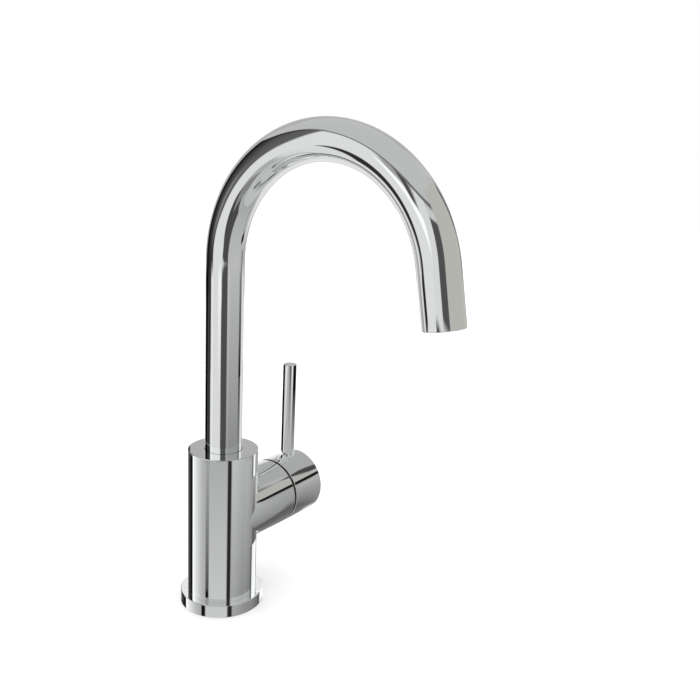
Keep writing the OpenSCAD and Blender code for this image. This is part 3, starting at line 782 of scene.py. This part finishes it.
# Each row is a panel on a round card: its first and last heading in degrees to the left of the
# camera's own, its lowest and highest edge in mm, the colour that chrome shows for it, or four
# colours for its corners (low first, low last, high first, high last), how soft its edges are in
# degrees, and how many mm its edges climb for each degree. Later panels lie over earlier ones
ROOM_ROWS = [
    ("upper back", -60, 50, 170, 800, "A6A6A6", 4, 0),
    ("low front", -180, 180, -300, 50, "A8A8A8", 6, 0),
    ("floor light", -52, 118, -300, 166, "D6D6D6", 2, 0),
    ("left low light", 104, 126, -100, 100, "D2D2D2", 5, 0),
    ("left low", 145, 172, -300, 70, "828282", 3, 0),
    ("left dark", 148, 184, 64, 240, "424242", 2, 0),
    ("left window", 106, 181, 94, 800, "D9D9D9", 2, 2.65),
    ("window glare", 143, 183, 300, 362, "FCFCFC", 2, -1.8),
    ("window top", 150, 184, 385, 480, "9C9C9C", 4, 0),
    ("window wedge", 164, 176, 350, 470, "484848", 2.5, 0),
    ("cabinet", 66, 118, 228, 800, ("2C2C2C", "5C5C5C", "2C2C2C", "5C5C5C"), 1.5, 0),
    ("cabinet foot", 66, 113, 168, 300, ("0A0A0A", "282828", "222222", "5C5C5C"), 2, 0),
    ("cabinet light", 96, 108, 235, 310, "7C7C7C", 5, 0),
    ("cabinet edge", 51, 68, 168, 800, "101010", 2, 0),
    ("cabinet top", 62, 104, 500, 530, "262626", 2, 1.5),
    ("left beam", 108, 182, 488, 526, "6C6C6C", 2, -1.44),
    ("cabinet ceiling", 44, 112, 532, 900, "B8B8B8", 2, 1.5),
    ("left ceiling", 108, 182, 530, 1000, "B8B8B8", 2, -1.44),
    ("dark box", 89, 115, 96, 178, "2C2C2C", 1.5, 2.2),
    ("right wall", -140, -79, 205, 500, "B2B2AC", 2, 0),
    ("right low wall", -157, -79, -150, 205, ("A4A4A4", "A4A4A4", "B6B6B6", "B6B6B6"), 2, 0),
    ("right dark", -188, -157, -30, 203, "484848", 1.5, 0.45),
    ("right post", -158, -139.5, 224, 373, "4E4E4E", 1.2, 0),
    ("right lintel", -158, -140, 374, 402, "C4C4C4", 1.5, -0.8),
    ("right bright", -180, -158, 207, 430, "D4D4D4", 1.5, 0),
    ("right beam", -181, -140, 427, 451, "626262", 1.5, -1.1),
    ("grey blob", -79, -61, 300, 415, "606060", 3, 0),
    ("grey blob foot", -80, -65, 240, 300, "7E7E7A", 3, 0),
    ("light band", -80, -65, 148, 240, "B1B0AB", 1.2, 0),
    ("right middle", -80, -66, -100, 117, "9E9E9E", 2, 0),
    ("dark shelf", -80.5, -63.5, 115, 147, "141414", 0.8, 0),
    ("thin post", -64.5, -57, 175, 248, "464646", 1.5, 0),
]

# The near card is met only by what the barrel, the base ring and the housing mirror from below; its
# panels are painted reflections
NEAR_ROWS = [
    ("all round", -180, 180, -120, 78, "B0B0B0", 0.5, 0),
    ("behind the camera", 149, 202, -72, 90, ("CBCBCB", "CBCBCB", "A8A8A8", "A8A8A8"), 1, 0),
    ("left light", 84.5, 136, -120, 90, ("ECECEC", "ACACAC", "ECECEC", "ACACAC"), 1, 0),
    ("left glare", 85.5, 92.5, -120, 90, "FCFCFC", 1.5, 0),
    ("left post", 138.5, 149, -52, 82, ("101010", "101010", "A0A0A0", "A0A0A0"), 2.5, 0),
    ("left post's foot", 139, 147.5, -90, -28, "101010", 1.5, 0),
    ("right side", 215, 260, -72, 90, ("969696", "7C7C7C", "BFBFBF", "B2B2B2"), 1, 0),
    ("right edge", 259, 296, -72, 78, ("7C7C7C", "5A5A5A", "B2B2B2", "A0A0A0"), 1, 0),
    ("right post", 202, 213.5, -120, 90, "262626", 2.5, 0),
    ("back light", -20, 41, -120, 80, "E2E2E2", 1, 0),
    ("back panel", 40.5, 84, -120, 80, ("505050", "000000", "505050", "000000"), 1.5, 0),
    # Painted shade under the housing and the cap, and a painted highlight on the cap's edge
    ("under the housing", -66, -20, -120, 38, ("4E4E4E", "7A7A7A", "5C5C5C", "7A7A7A"), 3, 0),
    ("under the cap", -66, -40, 30, 74, ("6C6C6C", "6C6C6C", "A6A6A6", "A6A6A6"), 4, 0),
    ("cap's edge light", -42, -20, 22, 70, "BEBEBE", 4, 0),
]

# The edge card stands close to the barrel's right side; its panels are painted light and painted shade
# that the barrel mirrors
EDGE_ROWS = [
    ("shade", 260, 266.5, -10, 39.5, "5C5C5C", 1.5, 0),
    ("light", 266.5, 294, -10, 39.5, "ECECEC", 1.5, 0),
    ("upper shade", 260, 266.5, 91, 120, "6C6C6C", 1.5, 0),
    ("upper light", 266, 276, 91, 120, "F4F4F4", 1.5, 0),
    ("upper grey", 276, 312, 91, 120, "989898", 1.5, 0),
]

# The stem card stands close round the stem and is open towards the back; its panels are the stem's own
# painted reflections, painted highlights and painted dark bands
STEM_ROWS = [
    ("outer edge", 60, 95, 90, 244, "060606", 2, 0),
    ("left dark", 94, 115.5, 90, 244, "343434", 2, 0),
    ("left light", 116.5, 172, 90, 244, "D7D7D7", 2.5, 0),
    ("left glint", 122, 130, 90, 244, "E6E6E6", 2, 0),
    ("upper glint", 158, 170, 150, 244, ("D7D7D7", "D7D7D7", "F6F6F6", "F6F6F6"), 3, 0),
    ("front dark", 173.5, 199.5, 90, 244, "4A4A4A", 1.5, 0),
    ("right grey", 200, 268, 90, 244, ("828282", "828282", "B8B8B8", "B8B8B8"), 1.5, 0),
    ("right glint", 203, 210, 90, 244, ("909090", "909090", "C4C4C4", "C4C4C4"), 2, 0),
    ("right light", 268, 304, 90, 244, "D4D4D4", 3, 0),
    ("right line, lower part", 265, 281, 100, 182, ("808080", "808080", "080808", "080808"), 3, 0),
    ("right line, upper part", 265, 282, 160, 244, ("080808", "080808", "808080", "808080"), 3, 0),
]

# The lever card stands close round the lever in the same way; its panels are painted reflections for the
# lever, painted highlights and painted dark bands
LEVER_ROWS = [
    ("front", 106, 288, 80, 170, "AEAEAE", 2, 0),
    ("left light", 122, 135, 80, 170, "DCDCDC", 3, 0),
    ("left glint", 137, 153, 98, 170, ("B4B4B4", "B4B4B4", "F8F8F8", "F8F8F8"), 5, 0),
    ("middle dark", 181, 204, 104, 170, ("A8A8A8", "A8A8A8", "303030", "3C3C3C"), 3, 0),
    ("right glint", 208, 223, 100, 170, ("A8A8A8", "A8A8A8", "F4F4F4", "F4F4F4"), 3, 0),
    ("right dark", 229, 290, 92, 140, ("9A9A9A", "9A9A9A", "0C0C0C", "0C0C0C"), 3, 0),
    ("right dark, upper part", 229, 290, 139, 170, "0C0C0C", 3, 0),
    ("outer edge", 40, 119, 80, 170, "080808", 2, 0),
]


def between(tree, value, low, high, soft):
    """1 between two soft edges and 0 outside them."""
    rise, fall = (add(tree, "ShaderNodeMapRange", {"Value": value, "From Min": none, "From Max": full},
                      interpolation_type="SMOOTHSTEP").outputs[0]
                  for none, full in ((low - soft, low + soft), (high + soft, high - soft)))
    return add(tree, "ShaderNodeMath", {0: rise, 1: fall}, operation="MULTIPLY").outputs[0]


def blended(tree, corners, across, upwards):
    """Four hex colours blended from corner to corner of a panel."""
    low, high = (add(tree, "ShaderNodeMix", {0: across, 6: first, 7: last}, data_type="RGBA").outputs[2]
                 for first, last in (corners[:2], corners[2:]))
    return add(tree, "ShaderNodeMix", {0: upwards, 6: low, 7: high}, data_type="RGBA").outputs[2]


def panels(tree, x, y, z, rows, ground, mm_per_degree):
    """Lays panels over each other by heading and height; gives their colour and where any lies."""
    around = add(tree, "ShaderNodeMath", {0: y, 1: x}, operation="ARCTAN2").outputs[0]
    heading = add(tree, "ShaderNodeMath", {0: around}, operation="DEGREES").outputs[0]
    colour = ground
    cover = 0.0
    for name, first, last, low, high, shade, soft, climb in rows:
        middle, half = (first + last) / 2, (last - first) / 2
        turn = add(tree, "ShaderNodeMath", {0: heading, 1: 2.5 * FULL_TURN - CAMERA_HEADING - middle},
                   operation="ADD").outputs[0]
        turn = add(tree, "ShaderNodeMath", {0: turn, 1: FULL_TURN}, operation="MODULO").outputs[0]
        aside = add(tree, "ShaderNodeMath", {0: turn, 1: FULL_TURN / 2}, operation="SUBTRACT").outputs[0]
        level = add(tree, "ShaderNodeMath", {0: aside, 1: -climb, 2: z},
                    operation="MULTIPLY_ADD").outputs[0]
        mask = between(tree, level, low, high, soft * mm_per_degree)
        if half < FULL_TURN / 2:
            sides = between(tree, aside, -half, half, soft)
            mask = add(tree, "ShaderNodeMath", {0: mask, 1: sides}, operation="MULTIPLY").outputs[0]
        if not isinstance(shade, str):
            across = add(tree, "ShaderNodeMapRange", {
                "Value": aside, "From Min": -half, "From Max": half}, interpolation_type="SMOOTHSTEP")
            upwards = add(tree, "ShaderNodeMapRange", {"Value": level, "From Min": low, "From Max": high})
            shade = blended(tree, shade, across.outputs[0], upwards.outputs[0])
        panel = add(tree, "ShaderNodeMix", {0: mask, 6: colour, 7: shade}, data_type="RGBA", label=name)
        colour = panel.outputs[2]
        cover = add(tree, "ShaderNodeMath", {0: cover, 1: mask}, operation="MAXIMUM").outputs[0]
    return colour, cover


def room_world():
    """White to the camera, an even dome to the floor, and pale grey to the chrome."""
    world = bpy.data.worlds.new("studio_room")
    world.use_nodes = True
    tree = world.node_tree
    tree.nodes.clear()
    towards = add(tree, "ShaderNodeTexCoord").outputs["Generated"]
    z = add(tree, "ShaderNodeSeparateXYZ", {0: towards}).outputs["Z"]
    upper = add(tree, "ShaderNodeMapRange", {"Value": z, "From Min": -0.2, "From Max": 0.2},
                interpolation_type="SMOOTHSTEP").outputs[0]
    room = add(tree, "ShaderNodeMix", {0: upper, 6: LOW_ROOM, 7: ROOM}, data_type="RGBA").outputs[2]
    path = add(tree, "ShaderNodeLightPath").outputs
    plain = add(tree, "ShaderNodeMath", {0: path["Is Camera Ray"], 1: path["Is Diffuse Ray"]},
                operation="MAXIMUM").outputs[0]
    colour = add(tree, "ShaderNodeMix", {0: plain, 6: room, 7: "FFFFFF"}, data_type="RGBA").outputs[2]
    dome = add(tree, "ShaderNodeMix", {0: path["Is Diffuse Ray"], 2: 1 / CHROME_F0,
                                       3: DOME_LIGHT}).outputs[0]
    strength = add(tree, "ShaderNodeMix", {0: path["Is Camera Ray"], 2: dome, 3: 1.0}).outputs[0]
    background = add(tree, "ShaderNodeBackground", {"Color": colour, "Strength": strength})
    add(tree, "ShaderNodeOutputWorld", {"Surface": background.outputs[0]})
    return world


def card_light(name, radius, high, rows, ground, at_x, fade, reach):
    """The light of a card's panels, as chrome shows it; it is clear where no panel lies unless it has
    a ground colour, and brighter when it comes by way of a second mirror."""
    material = bpy.data.materials.new(name)
    material.use_nodes = True
    material.cycles.emission_sampling = "NONE"
    tree = material.node_tree
    tree.nodes.clear()
    where = add(tree, "ShaderNodeTexCoord").outputs["Object"]
    in_mm = add(tree, "ShaderNodeVectorMath", {0: where, 1: (-at_x, 0, 0)}, operation="ADD").outputs[0]
    in_mm = add(tree, "ShaderNodeVectorMath", {0: in_mm, "Scale": 1 / MM}, operation="SCALE").outputs[0]
    x, y, z = add(tree, "ShaderNodeSeparateXYZ", {0: in_mm}).outputs
    path = add(tree, "ShaderNodeLightPath").outputs
    colour, cover = panels(tree, x, y, z, rows, ground or "808080", math.radians(radius / MM))
    limits = []
    if fade:
        limits.append((z, high / MM, high / MM - fade))
    if reach:
        limits.append((path["Ray Length"], reach, reach * 0.9))
    for value, none, full in limits:
        share_seen = add(tree, "ShaderNodeMapRange", {"Value": value, "From Min": none, "From Max": full},
                         interpolation_type="SMOOTHSTEP").outputs[0]
        cover = add(tree, "ShaderNodeMath", {0: cover, 1: share_seen}, operation="MULTIPLY").outputs[0]
    # Painted light: what a second mirror shows is made as bright as what the first mirror shows
    strength = add(tree, "ShaderNodeMapRange", {
        "Value": path["Glossy Depth"], "From Min": 1.0, "From Max": 2.0,
        "To Min": 1 / CHROME_F0, "To Max": 1 / CHROME_F0 ** 2})
    glow = add(tree, "ShaderNodeEmission", {"Color": colour, "Strength": strength.outputs[0]}).outputs[0]
    if not ground:
        clear = add(tree, "ShaderNodeBsdfTransparent").outputs[0]
        glow = add(tree, "ShaderNodeMixShader", {0: cover, 1: clear, 2: glow}).outputs[0]
    add(tree, "ShaderNodeOutputMaterial", {"Surface": glow})
    return material


def round_card(name, radius, low, high, rows, ground=None, at_x=0.0, fade=0.0, reach=0.0):
    """An open round card about an upright axis, seen only in the chrome. It fades out over so many mm
    below its upper edge, and one with a reach is seen from no farther than that."""
    deselect()
    bpy.ops.mesh.primitive_circle_add(vertices=CARD_SIDES, radius=radius, fill_type="NOTHING")
    card = bpy.context.object
    card.name = name
    bpy.ops.object.mode_set(mode="EDIT")
    bpy.ops.transform.translate(value=(at_x, 0, low))
    bpy.ops.mesh.extrude_edges_move(TRANSFORM_OT_translate={"value": (0, 0, high - low)})
    bpy.ops.object.mode_set(mode="OBJECT")
    card.data.materials.append(card_light(name, radius, high, rows, ground, at_x, fade, reach))
    for kind in ("camera", "diffuse", "transmission", "volume_scatter", "shadow"):
        setattr(card, "visible_" + kind, False)


class FAUCET_OT_stage(bpy.types.Operator):
    """Adds the pale floor, the room's light with its cards of painted reflections, and the photograph's
    camera
    """
    bl_idname = "faucet.stage"
    bl_label = "Stage"

    def execute(self, context):
        deselect()
        bpy.ops.mesh.primitive_plane_add(size=FLOOR_SIZE)
        floor = context.object
        floor.name = "floor"
        floor.data.materials.append(studio_floor())
        floor.visible_glossy = False
        round_card("room_card", 300 * MM, -150 * MM, 650 * MM, ROOM_ROWS, ROOM)
        round_card("near_card", 100 * MM, -100 * MM, 85 * MM, NEAR_ROWS)
        round_card("edge_card", 32 * MM, -4 * MM, 112.5 * MM, EDGE_ROWS)
        round_card("stem_card", 30 * MM, 110.3 * MM, 242 * MM, STEM_ROWS, fade=16.0)
        round_card("lever_card", 8.5 * MM, 89 * MM, 158 * MM, LEVER_ROWS, at_x=70.8 * MM, reach=7.7 * MM)
        view = bpy.data.cameras.new("photo_camera")
        view.lens = LENS_MM
        view.sensor_width = SENSOR_MM
        camera = bpy.data.objects.new("photo_camera", view)
        camera.location = CAMERA_AT
        camera.rotation_mode = "QUATERNION"
        level_aim = CAMERA_AIM.to_track_quat("-Z", "Y")
        camera.rotation_quaternion = level_aim @ Quaternion((0, 0, 1), CAMERA_ROLL)
        context.scene.collection.objects.link(camera)
        context.scene.camera = camera
        context.scene.world = room_world()
        context.scene.view_settings.view_transform = "Standard"
        return {"FINISHED"}


PIECES = (FAUCET_OT_base_ring, FAUCET_OT_body, FAUCET_OT_handle_cap, FAUCET_OT_lever, FAUCET_OT_spout,
          FAUCET_OT_outlet_tip, FAUCET_OT_aerator, FAUCET_OT_glide_ring, FAUCET_OT_screws,
          FAUCET_OT_inner_parts, FAUCET_OT_stage)


class FAUCET_PT_panel(bpy.types.Panel):
    """Lists the faucet's sizes and its pieces"""
    bl_idname = "FAUCET_PT_panel"
    bl_label = "Faucet"
    bl_space_type = "VIEW_3D"
    bl_region_type = "UI"
    bl_category = "Faucet"

    def draw(self, context):
        for group in GROUPS:
            values = getattr(context.scene, group)
            box = self.layout.box()
            for name in values.__annotations__:
                box.prop(values, name)
        for piece in PIECES:
            self.layout.operator(piece.bl_idname)


def register():
    for group in GROUPS.values():
        bpy.utils.register_class(group)
    for name, group in GROUPS.items():
        setattr(bpy.types.Scene, name, bpy.props.PointerProperty(type=group))
    for piece in PIECES + (FAUCET_PT_panel,):
        bpy.utils.register_class(piece)


def unregister():
    for piece in reversed(PIECES + (FAUCET_PT_panel,)):
        bpy.utils.unregister_class(piece)
    for name, group in GROUPS.items():
        delattr(bpy.types.Scene, name)
        bpy.utils.unregister_class(group)


def main():
    """Registers the add-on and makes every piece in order."""
    register()
    for piece in PIECES:
        group, name = piece.bl_idname.split(".")
        getattr(getattr(bpy.ops, group), name)()


if __name__ == "__main__":
    main()
